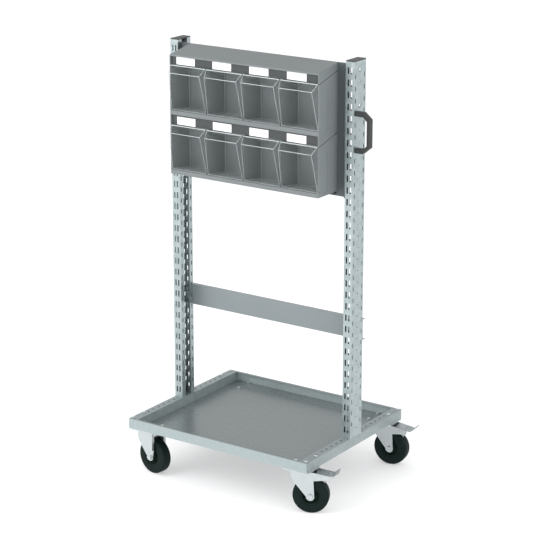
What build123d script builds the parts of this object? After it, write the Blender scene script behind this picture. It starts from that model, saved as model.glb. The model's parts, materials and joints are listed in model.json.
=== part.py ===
"""Castor trolley with two rows of tilting clear bins on perforated uprights, in millimetres.

X runs to the right, Y to the back and Z up. The origin is on the floor under the middle of the
whole object's box, so the tray stands a little to the left: the brake pedals reach past its right side.
"""

import os
from math import cos, radians, sin

from build123d import *

os.makedirs("parts", exist_ok=True)

# Base tray with its two side rails
tray_x = -42.0
tray_depth = 612.0
sheet = 2.0
rim_height = 35.0
hem_depth = 9.0
rail_width = 34.0
rail_hole_radius = 4.0
rail_hole_pitch = 30.0
rail_hole_count = 6
rail_hole_start = 66.0

# Castors
castor_height = 158.0
castor_inset_x = 50.0
castor_inset_y = 42.5
castor_headings = {"front_right": 24.0, "back_right": 8.0, "front_left": -9.0, "back_left": 5.0}
castor_brakes = {"front_right": True, "back_right": True, "front_left": False, "back_left": False}
castor_corners = {"front_right": (1, -1), "back_right": (1, 1), "front_left": (-1, -1), "back_left": (-1, 1)}
plate_length = 105.0
plate_width = 85.0
plate_thickness = 3.5
plate_corner = 8.0
race_radius = 29.0
race_bore = 19.0
race_height = 3.0
bolt_spacing_x = 80.0
bolt_spacing_y = 60.0
bolt_radius = 4.0
bolt_clearance = 0.3
bolt_head_radius = 6.5
bolt_head_height = 3.5
bolt_nut_radius = 7.0
bolt_nut_height = 4.5
trail = 36.0
wheel_radius = 62.5
wheel_width = 37.0
tyre_depth = 15.0
tyre_shoulder = 8.0
hub_rim = 6.0
hub_rim_width = 33.0
hub_web = 9.0
hub_boss_radius = 15.0
hub_boss_width = 44.0
axle_radius = 6.0
running_fit = 0.05
axle_head_radius = 10.0
axle_head_height = 6.0
kingpin_nut_height = 7.0
fork_sheet = 3.0
fork_inner_width = 46.0
crown_front = 39.0
crown_back = 45.0
crown_height = 149.0
crown_race_height = 2.2
leg_boss_radius = 14.0
leg_heel_height = 137.0
leg_arm_tip = (104.0, 139.0)
leg_arm_low = (91.0, 125.0)
leg_throat = (47.0, 119.5)
plain_leg_shoulder = (55.0, 146.0)
plain_leg_hip = (55.0, 91.0)
plain_leg_flange = 7.0
brake_pivot = (72.0, 134.0)
brake_pin_radius = 3.0
brake_pin_overhang = 2.0
pedal_sheet = 2.5
pedal_width = 44.0
pedal_heel = (56.0, 147.0)
pedal_bend = (80.0, 144.0)
pedal_dip = (112.0, 139.0)
pedal_toe = (130.0, 153.0)
pedal_ear_low = (84.0, 129.0)
pedal_ear_heel = (62.0, 129.0)
pedal_hole_radius = 3.5
pedal_hole_at = (91.0, 102.0)
pedal_hole_rows = (-12.0, 0.0, 12.0)
pedal_hole_reach = 10.0
shoe_width = 30.0
shoe_root_near = (72.0, 144.0)
shoe_root_far = (84.0, 142.0)
shoe_foot_near = (75.0, 119.0)
shoe_foot_far = (85.0, 112.0)

# Uprights: C sections open to the inside, with lips that turn back into the section
upright_length = 1300.0
upright_width = 32.0
upright_depth = 72.0
upright_lip = 20.0
upright_return = 12.0
slot_pitch = 40.0
slot_count = 32
flange_slot_width = 6.0
flange_slot_length = 22.0
flange_slot_rows = 12.0
web_slot_width = 5.0
web_slot_length = 15.0
web_slot_inset = 9.0
web_pilot_radius = 2.5
web_hole_radius = 6.0
web_hole_rows = (28, 31)
cap_thickness = 3.0
cap_overhang = 0.8
cap_corner = 3.0
cap_plug_height = 12.0
cap_plug_clearance = 0.5

# Bow handle on the right upright
handle_over_rail = 997.0
handle_y = -17.0
handle_length = 138.0
handle_reach = 55.0
handle_depth = 24.0
handle_grip = 11.0
handle_foot = 15.0
handle_slant = (26.0, 22.0)
handle_inner_cut = 14.0
handle_edge = 3.0
handle_screw_radius = 3.0
handle_screw_depth = 10.0
handle_screw_head_radius = 5.5
handle_screw_head_height = 3.0

# Cross beam behind the uprights
beam_over_rail = 335.0
beam_height = 74.0
beam_flange = 15.0
beam_bolt_row = 9
small_bolt_radius = 2.5
small_bolt_head_radius = 5.0
small_bolt_head_height = 3.0

# Cabinet: two stacked units and a hood
cabinet_width = 600.0
cabinet_front = -136.0
cabinet_depth = 114.0
cabinet_over_rail = 857.0
cabinet_side_gap = 39.0
unit_height = 207.0
bin_count = 4
wall = 3.0
back_wall = 2.0
front_rail_height = 15.0
seam_front = 171.0
seam_back = 201.0
hood_rise = 20.0
hood_edge = 6.0
hood_round = 4.0
seam_groove = 0.9
header_inset = 6.0
header_thickness = 2.0
header_drop = 33.0
partition_front = 168.0
partition_back = 190.0
side_groove_at = 44.0
side_groove_width = 24.0
side_groove_low = 10.0
side_groove_high = 150.0

# Tilting bins: points are (depth from the cabinet's front, height over the unit's bottom)
bin_wall = 2.0
bin_side_gap = 0.75
bin_pivot = (8.0, 20.0)
bin_pin_radius = 2.5
bin_pin_grip = 1.4
bin_front_foot = (3.5, 17.0)
bin_nose = (-25.0, 148.0)
bin_nose_taper = 7.0
bin_lip = (-1.0, 171.0)
bin_side_dip = (60.0, 150.0)
bin_side_back = (97.0, 136.0)
bin_back_top = (105.0, 148.0)
bin_back_foot = (105.0, 3.5)

# Label cards
card_width = 76.0
card_height = 27.0
card_thickness = 0.6
card_shift = -13.0
card_below_unit_top = 19.5

# Back panel
panel_drop = 15.0
panel_flange = 16.0
panel_screw_rows = (21, 29)
stud_radius = 5.0
stud_length = 11.0
stud_inset = 8.0
stud_gap = 0.1
housing_screw_inset = 80.0
housing_screw_heights = (45.0, 165.0)
housing_screw_depth = 1.5

# Levels and planes that follow from the sizes above
tray_bottom = castor_height
tray_floor = tray_bottom + sheet
rail_top = tray_bottom + rim_height
tray_width = cabinet_width + 2 * (cabinet_side_gap + upright_width)
cabinet_bottom = rail_top + cabinet_over_rail
beam_bottom = rail_top + beam_over_rail
handle_bottom = rail_top + handle_over_rail
upright_top = rail_top + upright_length
side_x = tray_width / 2
inner_x = side_x - upright_width
panel_front = cabinet_front + cabinet_depth
cabinet_top = cabinet_bottom + 2 * unit_height
hub_radius = wheel_radius - tyre_depth
half_fork = fork_inner_width / 2
outer_fork = half_fork + fork_sheet
heel_middle = outer_fork - crown_front
fork_reach = leg_arm_tip[0] - heel_middle
first_slot = rail_top + (upright_length - (slot_count - 1) * slot_pitch) / 2
compartment = (cabinet_width - (bin_count + 1) * wall) / bin_count
bin_width = compartment - 2 * bin_side_gap
unit_bottoms = {"lower": cabinet_bottom, "upper": cabinet_bottom + unit_height}


def across(x):
    """Plane square to X at the given distance from the tray's middle, with local axes Y and Z."""
    return Plane.YZ.offset(tray_x + x)


def unit_point(point, bottom):
    """Local (Y, Z) of a point given from a unit's front and bottom."""
    return (cabinet_front + point[0], bottom + point[1])


def compartment_left(number):
    """Left inner face of a bin compartment, from the tray's middle."""
    return wall - cabinet_width / 2 + number * (compartment + wall)


def nose_facet(end, side, bottom):
    """Plane of the slanted facet at one end of a bin's front, through its lip, foot and drawn-in nose."""
    lip = Vector(tray_x + end, *unit_point(bin_lip, bottom))
    foot = Vector(tray_x + end, *unit_point(bin_front_foot, bottom))
    nose = Vector(tray_x + end - side * bin_nose_taper, *unit_point(bin_nose, bottom))
    return Plane(origin=lip, x_dir=foot - lip, z_dir=(nose - lip).cross(foot - lip) * side)


def seam_strip(low, bottom):
    """Corners of a groove-wide strip of a side wall that follows the sloping seam, starting low above it."""
    return [
        unit_point((0, seam_front + low), bottom),
        unit_point((0, seam_front + low + seam_groove), bottom),
        unit_point((cabinet_depth, seam_back + low + seam_groove), bottom),
        unit_point((cabinet_depth, seam_back + low), bottom),
    ]


def swivel_point(corner):
    """Floor position of a castor's swivel axis."""
    side, end = castor_corners[corner]
    x = tray_x + side * (side_x - castor_inset_x)
    y = end * (tray_depth / 2 - castor_inset_y)
    return (x, y)


def castor_bolt_points(corners):
    """Bolt positions of the castor plates on the given corners."""
    offsets = [(i * bolt_spacing_x / 2, j * bolt_spacing_y / 2) for i in (-1, 1) for j in (-1, 1)]
    centres = [swivel_point(corner) for corner in corners]
    return [(x + dx, y + dy) for x, y in centres for dx, dy in offsets]


def in_rail(point):
    """True where a bolt comes up inside a side rail."""
    return abs(point[0] - tray_x) > side_x - rail_width


bolt_points = castor_bolt_points(castor_corners)
rail_bolts = [point for point in bolt_points if in_rail(point)]
floor_bolts = [point for point in bolt_points if not in_rail(point)]

# Tray: floor with folded front and back rims
with BuildPart() as tray:
    with BuildSketch(Plane.XY.offset(tray_bottom)):
        with Locations((tray_x, 0)):
            Rectangle(tray_width, tray_depth)
        with Locations(*bolt_points):
            Circle(bolt_radius + bolt_clearance, mode=Mode.SUBTRACT)
    extrude(amount=sheet)
    with BuildSketch(Plane.XY.offset(tray_floor)):
        with Locations((tray_x, (tray_depth - sheet) / 2), (tray_x, (sheet - tray_depth) / 2)):
            Rectangle(tray_width, sheet)
    extrude(amount=rim_height - sheet)
    with BuildSketch(Plane.XY.offset(rail_top - sheet)):
        with Locations((tray_x, (tray_depth - hem_depth) / 2), (tray_x, (hem_depth - tray_depth) / 2)):
            Rectangle(tray_width - 2 * rail_width, hem_depth)
    extrude(amount=sheet)
tray.part.label = "tray"
export_step(tray.part, "parts/tray.step")

# Side rails: channels open to the floor, perforated on top
rail_length = tray_depth - 2 * sheet
rail_hole_steps = [rail_hole_start + rail_hole_pitch * i for i in range(rail_hole_count)]
for name, side in {"left": -1, "right": 1}.items():
    rail_x = tray_x + side * (side_x - rail_width / 2)
    with BuildPart() as rail:
        with BuildSketch(Plane.XZ.offset(-rail_length / 2)):
            with Locations((rail_x, (tray_floor + rail_top) / 2)):
                Rectangle(rail_width, rail_top - tray_floor)
            with Locations((rail_x, (tray_floor + rail_top) / 2 - sheet)):
                Rectangle(rail_width - 2 * sheet, rail_top - tray_floor, mode=Mode.SUBTRACT)
        extrude(amount=rail_length)
        with BuildSketch(Plane.XY.offset(rail_top)):
            with Locations(*[(rail_x, end * step) for end in (-1, 1) for step in rail_hole_steps]):
                Circle(rail_hole_radius)
            with Locations(*[point for point in rail_bolts if side * (point[0] - tray_x) > 0]):
                Circle(bolt_radius + bolt_clearance)
        extrude(amount=-sheet, mode=Mode.SUBTRACT)
    rail.part.label = f"rail_{name}"
    export_step(rail.part, f"parts/rail_{name}.step")

# Bolts that hold the castor plates, long ones through the rails
with BuildPart() as castor_bolts:
    nut_bottom = tray_bottom - plate_thickness - bolt_nut_height
    with BuildSketch(Plane.XY.offset(nut_bottom)):
        with Locations(*bolt_points):
            RegularPolygon(bolt_nut_radius, 6)
    extrude(amount=bolt_nut_height)
    for seat, points in ((rail_top, rail_bolts), (tray_floor, floor_bolts)):
        with BuildSketch(Plane.XY.offset(nut_bottom)):
            with Locations(*points):
                Circle(bolt_radius)
        extrude(amount=seat - nut_bottom)
        with BuildSketch(Plane.XY.offset(seat)):
            with Locations(*points):
                Circle(bolt_head_radius)
        extrude(amount=bolt_head_height)
castor_bolts.part.label = "castor_bolts"
export_step(castor_bolts.part, "parts/castor_bolts.step")

# Castors: fixed plate and kingpin, swivelling fork with its pins, wheel, and on the right a brake pedal
plate_bottom = tray_bottom - plate_thickness
race_bottom = plate_bottom - race_height
for corner, heading in castor_headings.items():
    swivel_x, swivel_y = swivel_point(corner)
    forward = (cos(radians(heading)), sin(radians(heading)), 0)
    sideways = (sin(radians(heading)), -cos(radians(heading)), 0)
    level = Plane(origin=(swivel_x, swivel_y, 0), x_dir=forward, z_dir=(0, 0, 1))
    upright_plane = Plane(origin=(swivel_x, swivel_y, 0), x_dir=forward, z_dir=sideways)
    wheel_axis = Axis((swivel_x + trail * forward[0], swivel_y + trail * forward[1], wheel_radius), sideways)
    wheel_section = Plane(origin=wheel_axis.position, x_dir=(0, 0, 1), z_dir=forward)
    braked = castor_brakes[corner]
    leg_back = (leg_arm_tip, leg_arm_low, leg_throat) if braked else (plain_leg_shoulder, plain_leg_hip)

    with BuildPart() as plate:
        with BuildSketch(Plane((swivel_x, swivel_y, plate_bottom))):
            RectangleRounded(plate_length, plate_width, plate_corner)
            Circle(axle_radius + running_fit, mode=Mode.SUBTRACT)
            with GridLocations(bolt_spacing_x, bolt_spacing_y, 2, 2):
                Circle(bolt_radius + bolt_clearance, mode=Mode.SUBTRACT)
        extrude(amount=plate_thickness)
        with BuildSketch(Plane((swivel_x, swivel_y, race_bottom))):
            Circle(race_radius)
            Circle(race_bore, mode=Mode.SUBTRACT)
        extrude(amount=race_height)
    plate.part.label = f"castor_{corner}_plate"
    export_step(plate.part, f"parts/castor_{corner}_plate.step")

    with BuildPart() as kingpin:
        with BuildSketch(level.offset(crown_height - fork_sheet - kingpin_nut_height)):
            RegularPolygon(axle_head_radius, 6)
        extrude(amount=kingpin_nut_height)
        with BuildSketch(level.offset(crown_height - fork_sheet)):
            Circle(axle_radius)
        extrude(amount=tray_bottom - crown_height + fork_sheet)
    kingpin.part.label = f"castor_{corner}_kingpin"
    export_step(kingpin.part, f"parts/castor_{corner}_kingpin.step")

    with BuildPart() as fork:
        with BuildSketch(upright_plane):
            with BuildLine():
                Polyline(
                    (-crown_front, crown_height),
                    (crown_back, crown_height),
                    *leg_back,
                    (trail + leg_boss_radius, wheel_radius),
                    (trail - leg_boss_radius, wheel_radius),
                    (-crown_front, leg_heel_height),
                    close=True,
                )
            make_face()
            with Locations((trail, wheel_radius)):
                Circle(leg_boss_radius)
        extrude(amount=outer_fork, both=True)
        with BuildSketch(level):
            with Locations((heel_middle, 0)):
                Circle(outer_fork)
            with Locations((heel_middle + fork_reach / 2, 0)):
                Rectangle(fork_reach, 2 * outer_fork)
        extrude(amount=crown_height, mode=Mode.INTERSECT)
        with BuildSketch(level):
            with Locations((heel_middle, 0)):
                Circle(half_fork)
            with Locations((heel_middle + fork_reach / 2, 0)):
                Rectangle(fork_reach, fork_inner_width)
        extrude(amount=crown_height - fork_sheet, mode=Mode.SUBTRACT)
        with BuildSketch(level):
            with Locations((crown_back + fork_reach / 2, 0)):
                Rectangle(fork_reach, fork_inner_width)
            Circle(axle_radius + running_fit)
        extrude(amount=crown_height, mode=Mode.SUBTRACT)
        with BuildSketch(upright_plane):
            with Locations((trail, wheel_radius)):
                Circle(axle_radius + running_fit)
            if braked:
                with Locations(brake_pivot):
                    Circle(brake_pin_radius + running_fit)
        extrude(amount=outer_fork, both=True, mode=Mode.SUBTRACT)
        if not braked:
            flange_x = plain_leg_hip[0] - fork_sheet / 2
            flange_y = outer_fork + plain_leg_flange / 2
            with BuildSketch(level.offset(plain_leg_hip[1])):
                with Locations((flange_x, -flange_y), (flange_x, flange_y)):
                    Rectangle(fork_sheet, plain_leg_flange)
            extrude(amount=plain_leg_shoulder[1] - plain_leg_hip[1])
        with BuildSketch(level.offset(crown_height)):
            Circle(race_radius)
            Circle(race_bore, mode=Mode.SUBTRACT)
        extrude(amount=crown_race_height)
    fork.part.label = f"castor_{corner}_fork"
    export_step(fork.part, f"parts/castor_{corner}_fork.step")

    with BuildPart() as pins:
        with BuildSketch(upright_plane):
            with Locations((trail, wheel_radius)):
                Circle(axle_radius)
        extrude(amount=outer_fork, both=True)
        for head_face in (outer_fork, -outer_fork - axle_head_height):
            with BuildSketch(upright_plane.offset(head_face)):
                with Locations((trail, wheel_radius)):
                    RegularPolygon(axle_head_radius, 6)
            extrude(amount=axle_head_height)
        if braked:
            with BuildSketch(upright_plane):
                with Locations(brake_pivot):
                    Circle(brake_pin_radius)
            extrude(amount=outer_fork + brake_pin_overhang, both=True)
    pins.part.label = f"castor_{corner}_pins"
    export_step(pins.part, f"parts/castor_{corner}_pins.step")

    with BuildPart() as tyre:
        with BuildSketch(wheel_section):
            with Locations((wheel_radius - tyre_depth / 2, 0)):
                tread = Rectangle(tyre_depth, wheel_width)
            outer_corners = tread.vertices().sort_by(Axis((0, 0, 0), (0, 0, 1)))[-2:]
            fillet(outer_corners, tyre_shoulder)
        revolve(axis=wheel_axis)
    tyre.part.label = f"castor_{corner}_tyre"
    export_step(tyre.part, f"parts/castor_{corner}_tyre.step")

    with BuildPart() as hub:
        bore = axle_radius + running_fit
        with BuildSketch(wheel_section):
            with Locations((hub_radius - hub_rim / 2, 0)):
                Rectangle(hub_rim, hub_rim_width)
            with Locations(((bore + hub_radius) / 2, 0)):
                Rectangle(hub_radius - bore, hub_web)
            with Locations(((bore + hub_boss_radius) / 2, 0)):
                Rectangle(hub_boss_radius - bore, hub_boss_width)
        revolve(axis=wheel_axis)
    hub.part.label = f"castor_{corner}_hub"
    export_step(hub.part, f"parts/castor_{corner}_hub.step")

    if braked:
        with BuildPart() as pedal:
            with BuildSketch(upright_plane):
                with BuildLine():
                    Polyline(pedal_heel, pedal_bend, pedal_dip, pedal_toe)
                    offset(amount=pedal_sheet, side=Side.RIGHT)
                make_face()
            extrude(amount=pedal_width / 2, both=True)
            with BuildSketch(upright_plane):
                with BuildLine():
                    Polyline(shoe_root_near, shoe_root_far, shoe_foot_far, shoe_foot_near, close=True)
                make_face()
            extrude(amount=shoe_width / 2, both=True)
            for ear_face in (pedal_width / 2 - pedal_sheet, -pedal_width / 2):
                with BuildSketch(upright_plane.offset(ear_face)):
                    with BuildLine():
                        Polyline(pedal_heel, pedal_bend, pedal_ear_low, pedal_ear_heel, close=True)
                    make_face()
                extrude(amount=pedal_sheet)
            with BuildSketch(upright_plane):
                with Locations(brake_pivot):
                    Circle(brake_pin_radius + running_fit)
            extrude(amount=pedal_width, both=True, mode=Mode.SUBTRACT)
            with BuildSketch(level.offset(pedal_bend[1])):
                with Locations(*[(x, y) for x in pedal_hole_at for y in pedal_hole_rows]):
                    Circle(pedal_hole_radius)
            extrude(amount=pedal_hole_reach, both=True, mode=Mode.SUBTRACT)
        pedal.part.label = f"castor_{corner}_pedal"
        export_step(pedal.part, f"parts/castor_{corner}_pedal.step")

# Uprights: slotted flanges, web and lips
flange_rows = [i * flange_slot_rows / 2 for i in (-1, 1)]
web_rows = [i * (upright_depth / 2 - web_slot_inset) for i in (-1, 1)]
slot_steps = [i * slot_pitch for i in range(slot_count)]
web_holes = [(0, first_slot + row * slot_pitch) for row in web_hole_rows]
pilot_rows = [row for row in range(slot_count) if row not in web_hole_rows]
web_pilots = [(0, first_slot + row * slot_pitch) for row in pilot_rows]
handle_top = handle_bottom + handle_length
handle_screw_points = [(handle_y, handle_bottom + handle_foot / 2), (handle_y, handle_top - handle_foot / 2)]
for name, side in {"left": -1, "right": 1}.items():
    middle_x = tray_x + side * (side_x - upright_width / 2)
    return_x = tray_x + side * (inner_x + upright_return / 2)
    return_y = upright_depth / 2 - upright_lip + sheet / 2
    with BuildPart() as upright:
        with BuildSketch(Plane.XY.offset(rail_top)):
            with Locations((middle_x, 0)):
                Rectangle(upright_width, upright_depth)
                Rectangle(upright_width - 2 * sheet, upright_depth - 2 * sheet, mode=Mode.SUBTRACT)
            with Locations((tray_x + side * inner_x, 0)):
                Rectangle(upright_width, upright_depth - 2 * upright_lip, mode=Mode.SUBTRACT)
            with Locations((return_x, -return_y), (return_x, return_y)):
                Rectangle(upright_return, sheet)
        extrude(amount=upright_length)
        with BuildSketch(Plane.XZ):
            with Locations(*[(middle_x + i, first_slot + j) for i in flange_rows for j in slot_steps]):
                Rectangle(flange_slot_width, flange_slot_length)
        extrude(amount=upright_depth, both=True, mode=Mode.SUBTRACT)
        with BuildSketch(across(side * side_x)):
            half_pitch = first_slot + slot_pitch / 2
            with Locations(*[(row, half_pitch + step) for row in web_rows for step in slot_steps[:-1]]):
                Rectangle(web_slot_width, web_slot_length)
            with Locations(*web_holes):
                Circle(web_hole_radius)
            with Locations(*web_pilots):
                Circle(web_pilot_radius)
            if side > 0:
                with Locations(*handle_screw_points):
                    Circle(handle_screw_radius + running_fit)
        extrude(amount=upright_width, both=True, mode=Mode.SUBTRACT)
    upright.part.label = f"upright_{name}"
    export_step(upright.part, f"parts/upright_{name}.step")

    with BuildPart() as cap:
        with BuildSketch(Plane.XY.offset(upright_top)):
            cap_size = (upright_width + 2 * cap_overhang, upright_depth + 2 * cap_overhang)
            with Locations((middle_x, 0)):
                RectangleRounded(*cap_size, cap_corner)
        extrude(amount=cap_thickness)
        with BuildSketch(Plane.XY.offset(upright_top)):
            plug_width = upright_width - upright_return - sheet - 2 * cap_plug_clearance
            plug_depth = upright_depth - 2 * (sheet + cap_plug_clearance)
            with Locations((tray_x + side * (side_x - sheet - cap_plug_clearance - plug_width / 2), 0)):
                Rectangle(plug_width, plug_depth)
        extrude(amount=-cap_plug_height)
    cap.part.label = f"cap_{name}"
    export_step(cap.part, f"parts/cap_{name}.step")

# Bow handle and the screws that hold it from inside the upright
handle_x = tray_x + side_x
handle_outer_x = handle_x + handle_reach
grip_x = handle_outer_x - handle_grip
gap_bottom = handle_bottom + handle_foot
gap_top = handle_top - handle_foot
with BuildPart() as handle:
    with BuildSketch(Plane.XZ.offset(-handle_y)):
        with BuildLine():
            Polyline(
                (handle_x, handle_bottom),
                (handle_outer_x - handle_slant[0], handle_bottom),
                (handle_outer_x, handle_bottom + handle_slant[1]),
                (handle_outer_x, handle_top - handle_slant[1]),
                (handle_outer_x - handle_slant[0], handle_top),
                (handle_x, handle_top),
                close=True,
            )
        make_face()
        with BuildLine():
            Polyline(
                (handle_x, gap_bottom),
                (grip_x - handle_inner_cut, gap_bottom),
                (grip_x, gap_bottom + handle_inner_cut),
                (grip_x, gap_top - handle_inner_cut),
                (grip_x - handle_inner_cut, gap_top),
                (handle_x, gap_top),
                close=True,
            )
        make_face(mode=Mode.SUBTRACT)
    extrude(amount=handle_depth / 2, both=True)
    flanks = handle.faces().sort_by(Axis.Y)
    rims = flanks[0].edges() + flanks[-1].edges()
    fillet(rims.filter_by(lambda edge: edge.center().X > handle_x + handle_edge), handle_edge)
    with BuildSketch(across(side_x)):
        with Locations(*handle_screw_points):
            Circle(handle_screw_radius + running_fit)
    extrude(amount=handle_screw_depth, mode=Mode.SUBTRACT)
handle.part.label = "handle"
export_step(handle.part, "parts/handle.step")

with BuildPart() as handle_screws:
    with BuildSketch(across(side_x - sheet)):
        with Locations(*handle_screw_points):
            Circle(handle_screw_radius)
    extrude(amount=sheet + handle_screw_depth)
    with BuildSketch(across(side_x - sheet)):
        with Locations(*handle_screw_points):
            Circle(handle_screw_head_radius)
    extrude(amount=-handle_screw_head_height)
handle_screws.part.label = "handle_screws"
export_step(handle_screws.part, "parts/handle_screws.step")

# Cross beam: channel bolted to the uprights' rear flanges
beam_front = upright_depth / 2
beam_bolt_z = first_slot + beam_bolt_row * slot_pitch
beam_bolt_points = [
    (tray_x + side * (side_x - upright_width / 2) + row, beam_bolt_z)
    for side in (-1, 1)
    for row in flange_rows
]
with BuildPart() as cross_beam:
    with BuildSketch(across(-side_x)):
        with Locations((beam_front + beam_flange / 2, beam_bottom + beam_height / 2)):
            Rectangle(beam_flange, beam_height)
        with Locations((beam_front + beam_flange / 2 + sheet, beam_bottom + beam_height / 2)):
            Rectangle(beam_flange, beam_height - 2 * sheet, mode=Mode.SUBTRACT)
    extrude(amount=tray_width)
    with BuildSketch(Plane.XZ.offset(-beam_front)):
        with Locations(*beam_bolt_points):
            Circle(small_bolt_radius + bolt_clearance)
    extrude(amount=-sheet, mode=Mode.SUBTRACT)
cross_beam.part.label = "cross_beam"
export_step(cross_beam.part, "parts/cross_beam.step")

with BuildPart() as beam_bolts:
    grip_front = beam_front - sheet
    grip_back = beam_front + sheet
    with BuildSketch(Plane.XZ.offset(-grip_front)):
        with Locations(*beam_bolt_points):
            Circle(small_bolt_radius)
    extrude(amount=grip_front - grip_back)
    with BuildSketch(Plane.XZ.offset(-grip_front)):
        with Locations(*beam_bolt_points):
            Circle(small_bolt_head_radius)
    extrude(amount=small_bolt_head_height)
    with BuildSketch(Plane.XZ.offset(-grip_back)):
        with Locations(*beam_bolt_points):
            RegularPolygon(small_bolt_head_radius, 6)
    extrude(amount=-small_bolt_head_height)
beam_bolts.part.label = "beam_bolts"
export_step(beam_bolts.part, "parts/beam_bolts.step")

# Back panel: plate with forward flanges screwed to the uprights' front lips
panel_bottom = cabinet_bottom - panel_drop
panel_height = cabinet_top + hood_rise - panel_bottom
lip_row = web_rows[0]
panel_screw_z = [first_slot + slot_pitch / 2 + row * slot_pitch for row in panel_screw_rows]
housing_screw_points = [
    (tray_x + side * (cabinet_width / 2 - housing_screw_inset), bottom + height)
    for bottom in unit_bottoms.values()
    for side in (-1, 1)
    for height in housing_screw_heights
]
with BuildPart() as back_panel:
    with BuildSketch(Plane.XY.offset(panel_bottom)):
        with Locations((tray_x, panel_front + sheet - (sheet + panel_flange) / 2)):
            Rectangle(2 * inner_x, sheet + panel_flange)
        with Locations((tray_x, panel_front - panel_flange / 2)):
            Rectangle(2 * (inner_x - sheet), panel_flange, mode=Mode.SUBTRACT)
    extrude(amount=panel_height)
    with BuildSketch(across(0)):
        with Locations(*[(lip_row, z) for z in panel_screw_z]):
            Circle(small_bolt_radius + bolt_clearance)
    extrude(amount=inner_x, both=True, mode=Mode.SUBTRACT)
    with BuildSketch(Plane.XZ.offset(-panel_front)):
        with Locations(*housing_screw_points):
            Circle(small_bolt_radius + bolt_clearance)
    extrude(amount=-sheet, mode=Mode.SUBTRACT)
back_panel.part.label = "back_panel"
export_step(back_panel.part, "parts/back_panel.step")

with BuildPart() as panel_screws:
    for side in (-1, 1):
        inner_face = side * (inner_x - sheet)
        with BuildSketch(across(inner_face)):
            with Locations(*[(lip_row, z) for z in panel_screw_z]):
                Circle(small_bolt_radius)
        extrude(amount=2 * side * sheet)
        with BuildSketch(across(inner_face)):
            with Locations(*[(lip_row, z) for z in panel_screw_z]):
                Circle(small_bolt_head_radius)
        extrude(amount=-side * small_bolt_head_height)
        with BuildSketch(across(side * (inner_x + sheet))):
            with Locations(*[(lip_row, z) for z in panel_screw_z]):
                RegularPolygon(small_bolt_head_radius, 6)
        extrude(amount=side * small_bolt_head_height)
panel_screws.part.label = "panel_screws"
export_step(panel_screws.part, "parts/panel_screws.step")

with BuildPart() as support_studs:
    stud_x = cabinet_width / 2 - stud_inset
    stud_z = cabinet_bottom - stud_radius - stud_gap
    with BuildSketch(Plane.XZ.offset(-panel_front)):
        with Locations((tray_x - stud_x, stud_z), (tray_x + stud_x, stud_z)):
            Circle(stud_radius)
    extrude(amount=stud_length)
support_studs.part.label = "support_studs"
export_step(support_studs.part, "parts/support_studs.step")

# Housings: side walls and partitions with pivot holes, floor, front rail and back wall
wall_faces = [compartment_left(number) - wall for number in range(bin_count + 1)]
for name, bottom in unit_bottoms.items():
    stacked = name == "upper"
    skirt_front = seam_front - unit_height if stacked else 0
    skirt_back = seam_back - unit_height if stacked else 0
    with BuildPart() as housing:
        for number, face in enumerate(wall_faces):
            outer = number in (0, bin_count)
            low_front = skirt_front if outer else 0
            low_back = skirt_back if outer else 0
            high_front = seam_front if outer else partition_front
            high_back = seam_back if outer else partition_back
            with BuildSketch(across(face)):
                with BuildLine():
                    Polyline(
                        unit_point((0, low_front), bottom),
                        unit_point((0, high_front), bottom),
                        unit_point((cabinet_depth, high_back), bottom),
                        unit_point((cabinet_depth, low_back), bottom),
                        close=True,
                    )
                make_face()
                with Locations(unit_point(bin_pivot, bottom)):
                    Circle(bin_pin_radius + running_fit, mode=Mode.SUBTRACT)
            extrude(amount=wall)
        with BuildSketch(across(-cabinet_width / 2)):
            with Locations(unit_point((cabinet_depth / 2, wall / 2), bottom)):
                Rectangle(cabinet_depth, wall)
            with Locations(unit_point((wall / 2, front_rail_height / 2), bottom)):
                Rectangle(wall, front_rail_height)
            with Locations(unit_point((cabinet_depth - back_wall / 2, partition_back / 2), bottom)):
                Rectangle(back_wall, partition_back)
            if stacked:
                with Locations(unit_point((header_inset + header_thickness / 2, -header_drop / 2), bottom)):
                    Rectangle(header_thickness, header_drop)
        extrude(amount=cabinet_width)
        with BuildSketch(Plane.XZ.offset(-panel_front)):
            with Locations(*[point for point in housing_screw_points if 0 < point[1] - bottom < unit_height]):
                Circle(small_bolt_radius)
        extrude(amount=housing_screw_depth, mode=Mode.SUBTRACT)
        groove_middle = (side_groove_at, (side_groove_low + side_groove_high) / 2)
        seam_lows = (-seam_groove, -unit_height) if stacked else (-seam_groove,)
        for side in (-1, 1):
            with BuildSketch(across(side * cabinet_width / 2)):
                for low in seam_lows:
                    with BuildLine():
                        Polyline(*seam_strip(low, bottom), close=True)
                    make_face()
                with Locations(unit_point(groove_middle, bottom)):
                    Rectangle(side_groove_width, side_groove_high - side_groove_low)
            extrude(amount=-side * seam_groove, mode=Mode.SUBTRACT)
    housing.part.label = f"housing_{name}"
    export_step(housing.part, f"parts/housing_{name}.step")

with BuildPart() as housing_screws:
    panel_back = panel_front + sheet
    with BuildSketch(Plane.XZ.offset(-panel_back)):
        with Locations(*housing_screw_points):
            Circle(small_bolt_radius)
    extrude(amount=sheet + housing_screw_depth)
    with BuildSketch(Plane.XZ.offset(-panel_back)):
        with Locations(*housing_screw_points):
            Circle(small_bolt_head_radius)
    extrude(amount=-small_bolt_head_height)
housing_screws.part.label = "housing_screws"
export_step(housing_screws.part, "parts/housing_screws.step")

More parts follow.
